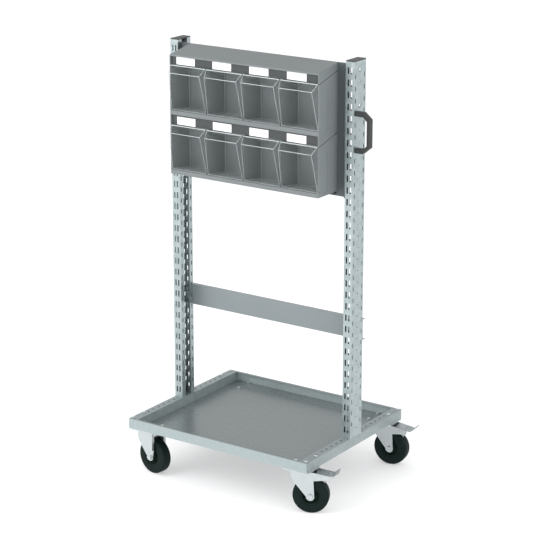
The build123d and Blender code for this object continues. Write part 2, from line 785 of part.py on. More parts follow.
# Hood: rising top with side skirts, back and label header
with BuildPart() as hood:
    top_front = (0, unit_height)
    top_back = (cabinet_depth, unit_height + hood_rise)
    upper_bottom = unit_bottoms["upper"]
    for face in (wall_faces[0], wall_faces[-1]):
        with BuildSketch(across(face)):
            with BuildLine():
                Polyline(
                    unit_point((0, seam_front), upper_bottom),
                    unit_point(top_front, upper_bottom),
                    unit_point(top_back, upper_bottom),
                    unit_point((cabinet_depth, seam_back), upper_bottom),
                    close=True,
                )
            make_face()
        extrude(amount=wall)
    with BuildSketch(across(-cabinet_width / 2)):
        with BuildLine():
            Polyline(
                unit_point((0, unit_height - hood_edge), upper_bottom),
                unit_point(top_front, upper_bottom),
                unit_point(top_back, upper_bottom),
                unit_point((cabinet_depth, seam_back), upper_bottom),
                unit_point((cabinet_depth - back_wall, seam_back), upper_bottom),
                unit_point((cabinet_depth - back_wall, unit_height + hood_rise - wall), upper_bottom),
                unit_point((wall, unit_height - wall), upper_bottom),
                unit_point((wall, unit_height - hood_edge), upper_bottom),
                close=True,
            )
        make_face()
        header_top = unit_height - wall / 2
        header_bottom = unit_height - header_drop
        header_middle = (header_inset + header_thickness / 2, (header_top + header_bottom) / 2)
        with Locations(unit_point(header_middle, upper_bottom)):
            Rectangle(header_thickness, header_top - header_bottom)
    extrude(amount=cabinet_width)
    for side in (-1, 1):
        with BuildSketch(across(side * cabinet_width / 2)):
            with BuildLine():
                Polyline(*seam_strip(0, upper_bottom), close=True)
            make_face()
        extrude(amount=-side * seam_groove, mode=Mode.SUBTRACT)
    top_face = hood.faces().sort_by(Axis.Z)[-1]
    fillet(top_face.edges().sort_by(Axis.Y)[:-1], hood_round)
hood.part.label = "hood"
export_step(hood.part, "parts/hood.step")

# Tilting bins: open moulded boxes with a drawn-in nose and pivot stubs
for name, bottom in unit_bottoms.items():
    bent_wall = (bin_back_top, bin_back_foot, bin_front_foot, bin_nose, bin_lip)
    wall_line = [unit_point(point, bottom) for point in bent_wall]
    outline = wall_line + [unit_point(point, bottom) for point in (bin_side_dip, bin_side_back)]
    for number in range(bin_count):
        left = compartment_left(number) + bin_side_gap
        facets = [nose_facet(left, -1, bottom), nose_facet(left + bin_width, 1, bottom)]
        with BuildPart() as cavity:
            with BuildSketch(across(left + bin_wall)):
                with BuildLine() as cavity_line:
                    Polyline(*wall_line)
                    offset(amount=bin_wall, side=Side.RIGHT, closed=False, mode=Mode.REPLACE)
                    start = cavity_line.wires()[0] @ 0
                    end = cavity_line.wires()[0] @ 1
                    Polyline(end, (end.X, bottom + unit_height), (start.X, bottom + unit_height), start)
                make_face()
            extrude(amount=bin_width - 2 * bin_wall)
            for facet in facets:
                split(bisect_by=facet.offset(-bin_wall), keep=Keep.BOTTOM)

        with BuildPart() as tilt_bin:
            with BuildSketch(across(left)):
                with BuildLine():
                    Polyline(*outline, close=True)
                make_face()
            extrude(amount=bin_width)
            for facet in facets:
                split(bisect_by=facet, keep=Keep.BOTTOM)
            add(cavity.part, mode=Mode.SUBTRACT)
            with BuildSketch(across(left)):
                with Locations(unit_point(bin_pivot, bottom)):
                    Circle(bin_pin_radius)
            extrude(amount=-bin_side_gap - bin_pin_grip)
            with BuildSketch(across(left + bin_width)):
                with Locations(unit_point(bin_pivot, bottom)):
                    Circle(bin_pin_radius)
            extrude(amount=bin_side_gap + bin_pin_grip)
        tilt_bin.part.label = f"bin_{name}_{number + 1}"
        export_step(tilt_bin.part, f"parts/bin_{name}_{number + 1}.step")

# Label cards on the headers, one group for each row
for name, bottom in unit_bottoms.items():
    card_z = bottom + unit_height - card_below_unit_top
    card_x = tray_x + compartment / 2 + card_shift
    card_middles = [(card_x + compartment_left(number), card_z) for number in range(bin_count)]
    with BuildPart() as cards:
        with BuildSketch(Plane.XZ.offset(-cabinet_front - header_inset)):
            with Locations(*card_middles):
                Rectangle(card_width, card_height)
        extrude(amount=card_thickness)
    cards.part.label = f"cards_{name}"
    export_step(cards.part, f"parts/cards_{name}.step")
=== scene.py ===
"""Looks of the castor trolley with two rows of tilting clear bins.

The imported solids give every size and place. This script gives each of them its finish and adds
the fine forms that ride on them: wheels with spokes and the bins' moulded edges.
"""
import json
import logging
import math
from dataclasses import dataclass, field
from enum import Enum
from typing import Any, Dict, List, Optional, Sequence, Tuple, Union

import bpy
import numpy as np
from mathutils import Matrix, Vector


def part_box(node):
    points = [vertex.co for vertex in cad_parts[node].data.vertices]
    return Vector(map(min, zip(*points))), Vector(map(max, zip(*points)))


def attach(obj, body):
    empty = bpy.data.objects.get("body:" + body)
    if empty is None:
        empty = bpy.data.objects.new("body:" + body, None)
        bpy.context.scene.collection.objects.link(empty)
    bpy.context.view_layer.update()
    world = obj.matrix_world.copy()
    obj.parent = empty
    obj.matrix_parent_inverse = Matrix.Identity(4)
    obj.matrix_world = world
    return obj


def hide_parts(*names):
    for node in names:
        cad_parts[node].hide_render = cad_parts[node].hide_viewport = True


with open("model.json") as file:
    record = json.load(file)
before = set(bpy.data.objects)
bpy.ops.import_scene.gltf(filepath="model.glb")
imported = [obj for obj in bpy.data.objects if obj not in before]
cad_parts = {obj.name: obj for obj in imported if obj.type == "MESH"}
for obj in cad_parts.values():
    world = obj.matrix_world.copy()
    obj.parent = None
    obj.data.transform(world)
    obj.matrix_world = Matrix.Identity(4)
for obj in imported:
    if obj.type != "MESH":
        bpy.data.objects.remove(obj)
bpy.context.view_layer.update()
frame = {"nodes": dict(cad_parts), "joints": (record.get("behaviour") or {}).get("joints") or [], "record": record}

LOG = logging.getLogger("trolley")
Colour = Tuple[float, float, float]
Point = Tuple[float, float]
Stretch = Tuple[float, float, float]


class Slot(Enum):
    """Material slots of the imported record."""

    GALVANISED = "galvanised"
    GREY_PAINT = "grey_paint"
    GREY_PLASTIC = "grey_plastic"
    CLEAR_PLASTIC = "clear_plastic"
    WHITE_CARD = "white_card"
    BLACK_PLASTIC = "black_plastic"
    BRIGHT_ZINC = "bright_zinc"
    DARK_RUBBER = "dark_rubber"
    DARK_PLASTIC = "dark_plastic"


class Corner(Enum):
    """The four castors of the tray."""

    FRONT_RIGHT = "front_right"
    BACK_RIGHT = "back_right"
    FRONT_LEFT = "front_left"
    BACK_LEFT = "back_left"


class Row(Enum):
    """The two rows of bins."""

    LOWER = "lower"
    UPPER = "upper"


class Term:
    """A node socket that takes part in arithmetic; each operator adds a Math node."""

    def __init__(self, graph: "Graph", socket: bpy.types.NodeSocket) -> None:
        """Keeps the graph and the socket."""
        self.graph = graph
        self.socket = socket

    def _math(self, operation: str, first: Any, second: Any = None) -> "Term":
        """Adds one Math node.

        Args:
            operation: Blender's name of the operation.
            first: First operand, a Term or a number.
            second: Second operand where the operation has one.

        Returns:
            The node's value.
        """
        inputs = {0: first} if second is None else {0: first, 1: second}
        return self.graph.node("ShaderNodeMath", {"operation": operation}, inputs)

    def __add__(self, other: Any) -> "Term":
        """Sum."""
        return self._math("ADD", self, other)

    def __sub__(self, other: Any) -> "Term":
        """Difference."""
        return self._math("SUBTRACT", self, other)

    def __rsub__(self, other: Any) -> "Term":
        """Difference with a number on the left."""
        return self._math("SUBTRACT", other, self)

    def __mul__(self, other: Any) -> "Term":
        """Product."""
        return self._math("MULTIPLY", self, other)

    def __pow__(self, other: Any) -> "Term":
        """Power."""
        return self._math("POWER", self, other)

    def below(self, other: Any) -> "Term":
        """1 where this value is the smaller one, else 0."""
        return self._math("LESS_THAN", self, other)

    def size(self) -> "Term":
        """The value without its sign."""
        return self._math("ABSOLUTE", self)

    def from_multiple(self, period: float) -> "Term":
        """Distance to the nearest whole multiple of a period."""
        return self._math("PINGPONG", self, period / 2)

    def above_multiple(self, period: float) -> "Term":
        """What is left over above the last whole multiple of a period."""
        return self._math("FLOORED_MODULO", self, period)

    def clamped(self, low: float, high: float) -> "Term":
        """The value held between two numbers."""
        return self._math("MINIMUM", self._math("MAXIMUM", self, low), high)


class Graph:
    """The node tree of one material, with one method that makes any node."""

    def __init__(self, name: str) -> None:
        """Starts an empty material of that name."""
        self.material = bpy.data.materials.new(name)
        self.material.use_nodes = True
        self.tree = self.material.node_tree
        self.tree.nodes.clear()

    def node(
        self,
        kind: str,
        settings: Optional[Dict[str, Any]] = None,
        inputs: Optional[Dict[Any, Any]] = None,
        output: Union[int, str] = 0,
    ) -> Term:
        """Makes a node.

        Args:
            kind: Blender's type name of the node.
            settings: Attributes that are set first.
            inputs: Values or Terms by socket name or number.
            output: Name or number of the socket that is handed back.

        Returns:
            The chosen output.
        """
        made = self.tree.nodes.new(kind)
        for name, value in (settings or {}).items():
            setattr(made, name, value)
        for key, value in (inputs or {}).items():
            socket = made.inputs[key]
            if isinstance(value, Term):
                self.tree.links.new(value.socket, socket)
            else:
                socket.default_value = value
        return Term(self, made.outputs[output])

    def place(self, stretch: Stretch = (1.0, 1.0, 1.0)) -> Term:
        """Object coordinates in metres, stretched along each axis.

        Args:
            stretch: Factors on X, Y and Z.

        Returns:
            The coordinates as a vector.
        """
        raw = self.node("ShaderNodeTexCoord", output="Object")
        return self.node("ShaderNodeMapping", inputs={"Vector": raw, "Scale": stretch})

    def noise(self, where: Term, scale: float, detail: float = 2.0, rough: float = 0.5) -> Term:
        """Cloudy noise from 0 to 1.

        Args:
            where: Coordinates.
            scale: Waves in a metre.
            detail: Octaves.
            rough: Strength of the finer octaves.

        Returns:
            The noise value.
        """
        inputs = {"Vector": where, "Scale": scale, "Detail": detail, "Roughness": rough}
        return self.node("ShaderNodeTexNoise", inputs=inputs)

    def cells(self, where: Term, scale: float) -> Term:
        """A random level for each cell of a crystal pattern.

        Args:
            where: Coordinates.
            scale: Cells in a metre.

        Returns:
            A level from 0 to 1 that is constant over each cell.
        """
        inputs = {"Vector": where, "Scale": scale}
        tint = self.node("ShaderNodeTexVoronoi", inputs=inputs, output="Color")
        return self.node("ShaderNodeSeparateColor", inputs={"Color": tint}, output="Red")

    def spread(self, value: Term, low: float, high: float) -> Term:
        """Stretches a value's band from low to high over 0 to 1, held at the ends.

        Args:
            value: The value.
            low: Level that becomes 0.
            high: Level that becomes 1.

        Returns:
            The stretched value.
        """
        inputs = {"Value": value, "From Min": low, "From Max": high}
        return self.node("ShaderNodeMapRange", inputs=inputs)

    @staticmethod
    def blend(patterns: Sequence[Term], parts: Sequence[float]) -> Term:
        """Weighted sum of patterns.

        Args:
            patterns: The patterns.
            parts: Weight of each.

        Returns:
            The sum.
        """
        total = patterns[0] * parts[0]
        for pattern, part in zip(patterns[1:], parts[1:]):
            total = total + pattern * part
        return total

    def tint(self, share: Term, first: Union[Term, Colour], second: Union[Term, Colour]) -> Term:
        """Mixes two colours.

        Args:
            share: Share of the second colour.
            first: Colour at share 0.
            second: Colour at share 1.

        Returns:
            The mixed colour.
        """
        ends = [end if isinstance(end, Term) else (*end, 1.0) for end in (first, second)]
        inputs = {0: share, 6: ends[0], 7: ends[1]}
        return self.node("ShaderNodeMix", {"data_type": "RGBA"}, inputs, 2)

    def shade(self, colour: Term, factor: Term) -> Term:
        """A colour made darker or lighter.

        Args:
            colour: The colour.
            factor: Factor on its brightness.

        Returns:
            The changed colour.
        """
        inputs = {0: colour, "Scale": factor}
        return self.node("ShaderNodeVectorMath", {"operation": "SCALE"}, inputs)

    def axes(self) -> Tuple[Term, Term, Term]:
        """The object coordinates X, Y and Z in metres, each by itself."""
        raw = self.node("ShaderNodeTexCoord", output="Object")
        parts = self.tree.nodes.new("ShaderNodeSeparateXYZ")
        self.tree.links.new(raw.socket, parts.inputs[0])
        x, y, z = (Term(self, output) for output in parts.outputs)
        return x, y, z

    def level(self) -> Term:
        """1 on faces that lie flat, 0 on upright ones."""
        normal = self.node("ShaderNodeNewGeometry", output="Normal")
        return self.node("ShaderNodeSeparateXYZ", inputs={0: normal}, output=2).size()

    def sideways(self) -> Term:
        """1 on faces that look along X, 0 on faces square to that."""
        normal = self.node("ShaderNodeNewGeometry", output="Normal")
        return self.node("ShaderNodeSeparateXYZ", inputs={0: normal}, output=0).size()

    def bump(self, height: Term, depth: float) -> Term:
        """A normal from a height.

        Args:
            height: Height from 0 to 1.
            depth: Metres that a height of 1 stands for.

        Returns:
            The normal.
        """
        inputs = {"Height": height, "Distance": depth, "Strength": 1.0}
        return self.node("ShaderNodeBump", inputs=inputs)

    def finish(self, **sockets: Any) -> bpy.types.Material:
        """Closes the material with a Principled shader.

        Args:
            sockets: The shader's inputs by name, with underscores for spaces.

        Returns:
            The material.
        """
        inputs = {name.replace("_", " "): value for name, value in sockets.items()}
        shader = self.node("ShaderNodeBsdfPrincipled", inputs=inputs)
        made = self.tree.nodes.new("ShaderNodeOutputMaterial")
        self.tree.links.new(shader.socket, made.inputs["Surface"])
        return self.material


@dataclass(frozen=True)
class GalvanisedSteel:
    """Zinc-dipped sheet: crystal spangle, soft clouds and rolling streaks, with painted shade on flat faces and
    inside a hollow section.

    Patterns are given in cells or waves in a metre, skin and relief in metres. The parts weigh
    spangle, fine spangle, clouds and streaks.
    """

    name: str
    dark: Colour
    light: Colour
    metal: float = 0.85
    roughness: float = 0.40
    spangle: float = 70.0
    contrast: float = 1.0
    flat_shade_share: float = 1.0
    hollow: str = ""
    hollow_shade_share: float = 0.42
    hollow_skin: float = 0.0016
    fine_ratio: float = 2.6
    clouds: float = 7.0
    streaks: float = 160.0
    streak_stretch: Stretch = (1.0, 1.0, 0.06)
    grain: float = 1400.0
    parts: Sequence[float] = (0.42, 0.18, 0.28, 0.12)
    spangle_rough: float = 0.14
    grain_rough: float = 0.06
    relief_parts: Sequence[float] = (0.6, 0.4)
    relief: float = 0.00006

    def shadow(self, graph: Graph) -> Term:
        """Share of the brightness left: painted shade on flat faces, and painted shade inside a hollow section.

        Args:
            graph: Graph of the material.

        Returns:
            Factor on the colour.
        """
        # Painted shade: faces that lie flat keep only part of their brightness.
        left = graph.level() * (self.flat_shade_share - 1.0) + 1.0
        if not self.hollow:
            return left
        low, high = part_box(self.hollow)
        x, y, _ = graph.axes()
        middle, half = 0.5 * (low + high), 0.5 * (high - low)
        within_x = (x - middle.x).size().below(half.x - self.hollow_skin)
        within_y = (y - middle.y).size().below(half.y - self.hollow_skin)
        # Painted shade: points within the hollow section's box keep only part of their brightness.
        return left * (within_x * within_y * (self.hollow_shade_share - 1.0) + 1.0)

    def make(self) -> bpy.types.Material:
        """Builds the material; faces that lie flat keep only their share of the brightness, as painted shade."""
        graph = Graph(self.name)
        here = graph.place()
        crystal = graph.cells(here, self.spangle)
        patterns = (
            crystal,
            graph.cells(here, self.spangle * self.fine_ratio),
            graph.noise(here, self.clouds, 3.0),
            graph.noise(graph.place(self.streak_stretch), self.streaks),
        )
        share = (graph.blend(patterns, self.parts) - 0.5) * self.contrast + 0.5
        grain = graph.noise(here, self.grain, 1.0)
        rough = graph.blend((crystal, grain), (self.spangle_rough * self.contrast, self.grain_rough))
        relief = graph.blend((grain, crystal), self.relief_parts)
        return graph.finish(
            Base_Color=graph.shade(graph.tint(share, self.dark, self.light), self.shadow(graph)),
            Metallic=self.metal,
            Roughness=(rough + (self.roughness - 0.1)).clamped(0.1, 0.9),
            Normal=graph.bump(relief, self.relief * self.contrast),
        )


@dataclass(frozen=True)
class PowderCoat:
    """Baked paint on sheet steel, with its orange-peel skin.

    Patterns are given in waves in a metre, the relief in metres.
    """

    name: str
    dark: Colour
    light: Colour
    roughness: float = 0.42
    clouds: float = 5.0
    peel: float = 420.0
    specks: float = 2200.0
    parts: Sequence[float] = (0.7, 0.3)
    peel_rough: float = 0.12
    relief: float = 0.00012
    specular: float = 0.45

    def make(self) -> bpy.types.Material:
        """Builds the material."""
        graph = Graph(self.name)
        here = graph.place()
        cloud = graph.noise(here, self.clouds, 3.0)
        peel = graph.noise(here, self.peel)
        speck = graph.noise(here, self.specks, 1.0)
        return graph.finish(
            Base_Color=graph.tint(graph.blend((cloud, speck), self.parts), self.dark, self.light),
            Roughness=peel * self.peel_rough + (self.roughness - self.peel_rough / 2),
            Normal=graph.bump(peel, self.relief),
            Specular_IOR_Level=self.specular,
        )


@dataclass(frozen=True)
class MouldedPlastic:
    """Injection-moulded plastic with a fine spark-eroded skin and faint flow clouds.

    Patterns are given in waves in a metre, the relief in metres. The parts weigh clouds and skin.
    """

    name: str
    dark: Colour
    light: Colour
    roughness: float = 0.5
    grain: float = 1500.0
    parts: Sequence[float] = (0.75, 0.25)
    relief: float = 0.00008
    flow: float = 9.0
    flow_stretch: Stretch = (0.5, 1.0, 1.0)
    rub: float = 36.0
    rub_band: Point = (0.5, 0.8)
    skin_rough: float = 0.1
    rub_gloss: float = 0.08
    specular: float = 0.42

    def placed(self, graph: Graph, colour: Term) -> Term:
        """The colour at each place; here it is the same everywhere."""
        return colour

    def make(self) -> bpy.types.Material:
        """Builds the material."""
        graph = Graph(self.name)
        here = graph.place()
        flow = graph.noise(graph.place(self.flow_stretch), self.flow, 4.0, 0.6)
        skin = graph.noise(here, self.grain, 2.0, 0.7)
        rub = graph.spread(graph.noise(here, self.rub, 5.0, 0.7), *self.rub_band)
        colour = graph.tint(graph.blend((flow, skin), self.parts), self.dark, self.light)
        return graph.finish(
            Base_Color=self.placed(graph, colour),
            Roughness=skin * self.skin_rough - rub * self.rub_gloss + self.roughness,
            Normal=graph.bump(skin, self.relief),
            Specular_IOR_Level=self.specular,
        )


@dataclass(frozen=True)
class HousingPlastic(MouldedPlastic):
    """Moulded grey of the cabinet: painted shade on headers, on the partitions' front edges, along seams and on
    flat faces, a painted highlight above each seam, and painted light inside.

    Depths and heights are in metres, the other values are factors on the brightness.
    """

    parts: Sequence[float] = (0.9, 0.1)
    relief: float = 0.000012
    shaded_header: float = 0.30
    inside: float = 1.80
    flat_shade_share: float = 0.88
    skin_depth: float = 0.0032
    header_depth: float = 0.0085
    roof_rise: float = 0.020
    roof_skin: float = 0.005
    rail_height: float = 0.016
    header_height: float = 0.036
    partition_edge_shade: float = 0.42
    partition_half: float = 0.0019
    inside_side_shade: float = 0.90
    seam_shade: float = 0.34
    seam_highlight: float = 1.30
    seam_front: float = 0.171
    seam_back: float = 0.201
    seam_low: float = 0.0022
    seam_high: float = 0.0009
    seam_highlight_top: float = 0.0034

    def brightness(self, graph: Graph) -> Term:
        """Factor on the brightness at each place, from the cabinet's own boxes: the painted light and shade of the
        cabinet.

        A point lies inside when it is within the side walls, under the sloping roof and behind the front; deep
        inside gets painted light, except side walls, which get a slight painted shade, and the headers get painted
        shade. Partition edges repeat at the bins' pitch, above each row's front rail, and get painted shade. Seams
        run up the side walls from front to back, with painted shade along each and a painted highlight above each.
        Flat faces get painted shade.

        Args:
            graph: Graph of the material.

        Returns:
            Factor on the colour.
        """
        low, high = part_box("hood")
        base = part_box("housing_lower")[0].z
        row = 0.5 * (high.z - self.roof_rise - base)
        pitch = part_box("bin_lower_2")[0].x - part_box("bin_lower_1")[0].x
        x, y, z = graph.axes()
        aside = x - 0.5 * (low.x + high.x)
        slope = self.roof_rise / (high.y - low.y)
        between = aside.size().below(0.5 * (high.x - low.x) - self.skin_depth)
        enclosed = between * (z - y * slope).below(high.z - high.y * slope - self.roof_skin)
        front = y.below(low.y + self.skin_depth)
        deep = 1.0 - y.below(low.y + self.header_depth)
        up_row = (z - base).above_multiple(row)
        # Painted shade on the headers behind the labels.
        shaded_header = enclosed * (1.0 - front - deep) * (1.0 - up_row.below(row - self.header_height))
        over_rail = 1.0 - up_row.below(self.rail_height)
        at_pitch = aside.from_multiple(pitch).below(self.partition_half)
        # Painted shade on the partitions' front edges, above each row's front rail.
        partition_edge_shade = at_pitch * enclosed * front * over_rail
        climb = (self.seam_back - self.seam_front) / (high.y - low.y)
        seam_start = base + self.seam_front - low.y * climb
        off_seam = (z - y * climb - seam_start + self.seam_low).above_multiple(row)
        # Painted shade in a band along the seams.
        seam_shade = off_seam.below(self.seam_low + self.seam_high)
        # Painted highlight in a band just above the seams.
        lit = off_seam.below(self.seam_low + self.seam_highlight_top) - seam_shade
        outside = 1.0 - between
        # Painted light deep inside the cabinet; side walls there get a slight painted shade instead.
        shaded = graph.sideways() * (self.inside_side_shade - self.inside) + (self.inside - 1.0)
        # Headers get painted shade and the deep inside gets painted light.
        factor = shaded_header * (self.shaded_header - 1.0) + enclosed * deep * shaded + 1.0
        # Painted shade on the partitions' front edges and on flat faces.
        factor = factor + partition_edge_shade * (self.partition_edge_shade - 1.0) + graph.level() * (self.flat_shade_share - 1.0)
        # Painted shade and a painted highlight at the seams, on outer faces only.
        return factor + outside * (seam_shade * (self.seam_shade - 1.0) + lit * (self.seam_highlight - 1.0))

    def placed(self, graph: Graph, colour: Term) -> Term:
        """The colour at each place of the cabinet, with its painted light and shade."""
        return graph.shade(colour, self.brightness(graph))


@dataclass(frozen=True)
class ClearPlastic:
    """Clear moulded wall: see-through face on, milky and bright where it is seen along the wall.

    Cover goes from see, face on, to edge. Patterns are given in waves in a metre, the relief in metres.
    """

    name: str
    body: Colour
    haze: Colour
    see: float
    edge: float
    gloss: float = 0.45
    turn: float = 0.32
    turn_power: float = 2.5
    scuffs: float = 60.0
    scuff_band: Point = (0.52, 0.85)
    scuff_cover: float = 0.008
    scuff_rough: float = 0.1
    waves: float = 30.0
    parts: Sequence[float] = (0.6, 0.4)
    relief: float = 0.0002
    specular: float = 0.3

    def make(self) -> bpy.types.Material:
        """Builds the material."""
        graph = Graph(self.name)
        here = graph.place()
        facing = graph.node("ShaderNodeLayerWeight", inputs={"Blend": self.turn}, output="Facing")
        scuff = graph.spread(graph.noise(here, self.scuffs, 5.0, 0.7), *self.scuff_band)
        wave = graph.noise(here, self.waves, 1.0)
        cover = facing ** self.turn_power * (self.edge - self.see) + scuff * self.scuff_cover + self.see
        return graph.finish(
            Base_Color=graph.tint(graph.blend((wave, scuff), self.parts), self.body, self.haze),
            Roughness=scuff * self.scuff_rough + self.gloss,
            Alpha=cover.clamped(0.0, 1.0),
            Normal=graph.bump(wave, self.relief),
            Specular_IOR_Level=self.specular,
        )


@dataclass(frozen=True)
class PaperCard:
    """Blank white card with a faint fibre, in waves in a metre and a relief in metres."""

    name: str
    dark: Colour
    light: Colour
    roughness: float = 0.62
    fibres: float = 900.0
    fibre_stretch: Stretch = (1.0, 1.0, 0.35)
    fibre_rough: float = 0.1
    relief: float = 0.00004

    def make(self) -> bpy.types.Material:
        """Builds the material."""
        graph = Graph(self.name)
        fibre = graph.noise(graph.place(self.fibre_stretch), self.fibres, 4.0, 0.7)
        return graph.finish(
            Base_Color=graph.tint(fibre, self.dark, self.light),
            Roughness=fibre * self.fibre_rough + self.roughness,
            Normal=graph.bump(fibre, self.relief),
        )


@dataclass(frozen=True)
class BrightZinc:
    """Plated pressed steel: bright, with a faint mottle and drawn lines.

    Patterns are given in waves in a metre, the relief in metres. The parts weigh mottle and lines.
    """

    name: str
    dark: Colour
    light: Colour
    roughness: float = 0.3
    metal: float = 0.92
    mottle: float = 55.0
    lines: float = 700.0
    line_stretch: Stretch = (1.0, 1.0, 0.08)
    parts: Sequence[float] = (0.8, 0.2)
    rough_parts: Sequence[float] = (0.16, 0.06)
    relief: float = 0.00004

    def make(self) -> bpy.types.Material:
        """Builds the material."""
        graph = Graph(self.name)
        mottle = graph.noise(graph.place(), self.mottle, 4.0, 0.65)
        drawn = graph.noise(graph.place(self.line_stretch), self.lines)
        patterns = (mottle, drawn)
        return graph.finish(
            Base_Color=graph.tint(graph.blend(patterns, self.parts), self.dark, self.light),
            Metallic=self.metal,
            Roughness=graph.blend(patterns, self.rough_parts) + (self.roughness - 0.1),
            Normal=graph.bump(drawn, self.relief),
        )


@dataclass(frozen=True)
class TyreRubber:
    """Dark rubber with a dusty bloom.

    Patterns are given in waves in a metre, the relief in metres. The rough parts weigh bloom and skin.
    """

    name: str
    dark: Colour
    dust: Colour
    roughness: float = 0.55
    bloom: float = 38.0
    bloom_band: Point = (0.42, 0.8)
    bloom_share: float = 0.55
    skin: float = 1100.0
    rough_parts: Sequence[float] = (0.16, 0.08)
    relief: float = 0.00012
    specular: float = 0.16

    def make(self) -> bpy.types.Material:
        """Builds the material."""
        graph = Graph(self.name)
        here = graph.place()
        bloom = graph.spread(graph.noise(here, self.bloom, 5.0, 0.7), *self.bloom_band)
        skin = graph.noise(here, self.skin, 3.0, 0.7)
        return graph.finish(
            Base_Color=graph.tint(bloom * self.bloom_share, self.dark, self.dust),
            Roughness=graph.blend((bloom, skin), self.rough_parts) + self.roughness,
            Normal=graph.bump(skin, self.relief),
            Specular_IOR_Level=self.specular,
        )


@dataclass(frozen=True)
class StudioFloor:
    """Pale studio paper, lit from below so that shadows on it stay light."""

    name: str
    dark: Colour
    light: Colour
    glow: float = 0.38
    clouds: float = 0.8
    roughness: float = 0.8
    cloud_rough: float = 0.1
    specular: float = 0.1

    def make(self) -> bpy.types.Material:
        """Builds the material."""
        graph = Graph(self.name)
        cloud = graph.noise(graph.place(), self.clouds)
        return graph.finish(
            Base_Color=graph.tint(cloud, self.dark, self.light),
            Roughness=cloud * self.cloud_rough + self.roughness,
            Specular_IOR_Level=self.specular,
            Emission_Color=(1.0, 1.0, 1.0, 1.0),
            Emission_Strength=self.glow,
        )


FINISHES: Dict[str, Any] = {
    "galvanised": GalvanisedSteel("galvanised", (0.32, 0.37, 0.38), (0.51, 0.565, 0.575)),
    "tray": GalvanisedSteel(
        "galvanised_tray", (0.295, 0.35, 0.357), (0.39, 0.45, 0.458),
        metal=0.2, roughness=0.32, spangle=60.0, contrast=0.18, flat_shade_share=0.40,
    ),
    "rail": GalvanisedSteel(
        "galvanised_rail", (0.27, 0.32, 0.325), (0.42, 0.48, 0.485),
        metal=0.6, roughness=0.44, contrast=0.8, flat_shade_share=0.72,
    ),
    # A darker copy of the rail finish: painted shade on the right rail.
    "rail_outer": GalvanisedSteel(
        "galvanised_rail_outer", (0.24, 0.28, 0.285), (0.375, 0.425, 0.43),
        metal=0.5, roughness=0.5, contrast=0.8, flat_shade_share=0.75,
    ),
    # Both uprights get painted shade inside their hollow channels, deeper on the right upright.
    "upright_left": GalvanisedSteel(
        "galvanised_left", (0.29, 0.35, 0.36), (0.48, 0.545, 0.555),
        hollow="upright_left", hollow_shade_share=0.85,
    ),
    "upright_right": GalvanisedSteel(
        "galvanised_right", (0.29, 0.35, 0.36), (0.48, 0.545, 0.555),
        hollow="upright_right", hollow_shade_share=0.52,
    ),
    "panel": PowderCoat("panel_paint", (0.075, 0.092, 0.096), (0.10, 0.118, 0.124)),
    "beam": PowderCoat("beam_paint", (0.200, 0.230, 0.240), (0.238, 0.268, 0.280)),
    "housing": HousingPlastic("housing_grey", (0.155, 0.174, 0.177), (0.196, 0.217, 0.221)),
    "clear": ClearPlastic(
        "clear_wall", (0.58, 0.66, 0.66), (0.78, 0.85, 0.85), see=0.021, edge=0.46
    ),
    # Bead finish: higher cover for plastic seen end on, and a paler colour as a painted highlight along the edges.
    "clear_edge": ClearPlastic(
        "clear_edge", (0.74, 0.79, 0.79), (0.92, 0.95, 0.95), see=0.55, edge=0.9, gloss=0.3
    ),
    "card": PaperCard("blank_card", (0.86, 0.88, 0.90), (0.96, 0.97, 0.99)),
    "black": MouldedPlastic(
        "black_grip", (0.018, 0.021, 0.021), (0.034, 0.038, 0.038), roughness=0.46, grain=900.0
    ),
    "zinc": BrightZinc("bright_zinc", (0.46, 0.50, 0.51), (0.62, 0.66, 0.67)),
    "pedal": BrightZinc("pedal_zinc", (0.30, 0.33, 0.34), (0.43, 0.46, 0.47), roughness=0.36),
    "rubber": TyreRubber("tyre_rubber", (0.002, 0.009, 0.008), (0.010, 0.023, 0.021)),
    "hub": TyreRubber("wheel_centre", (0.003, 0.012, 0.008), (0.008, 0.022, 0.016)),
    "floor": StudioFloor("studio_paper", (0.66, 0.66, 0.665), (0.69, 0.69, 0.695)),
}

SLOT_FINISH: Dict[str, str] = {
    Slot.GALVANISED.value: "galvanised",
    Slot.GREY_PAINT.value: "panel",
    Slot.GREY_PLASTIC.value: "housing",
    Slot.CLEAR_PLASTIC.value: "clear",
    Slot.WHITE_CARD.value: "card",
    Slot.BLACK_PLASTIC.value: "black",
    Slot.BRIGHT_ZINC.value: "zinc",
    Slot.DARK_RUBBER.value: "rubber",
    Slot.DARK_PLASTIC.value: "hub",
}

NODE_FINISH: Dict[str, str] = {
    "tray": "tray",
    "rail_left": "rail",
    "rail_right": "rail_outer",
    "upright_left": "upright_left",
    "upright_right": "upright_right",
    "castor_front_right_pedal": "pedal",
    "castor_back_right_pedal": "pedal",
    "cross_beam": "beam",
}


class Palette:
    """Makes each finish once and hands it out by name."""

    def __init__(self) -> None:
        """Starts with no finish made."""
        self._made: Dict[str, bpy.types.Material] = {}

    def get(self, name: str) -> bpy.types.Material:
        """The material of that finish, made when it is first asked for."""
        if name not in self._made:
            self._made[name] = FINISHES[name].make()
        return self._made[name]


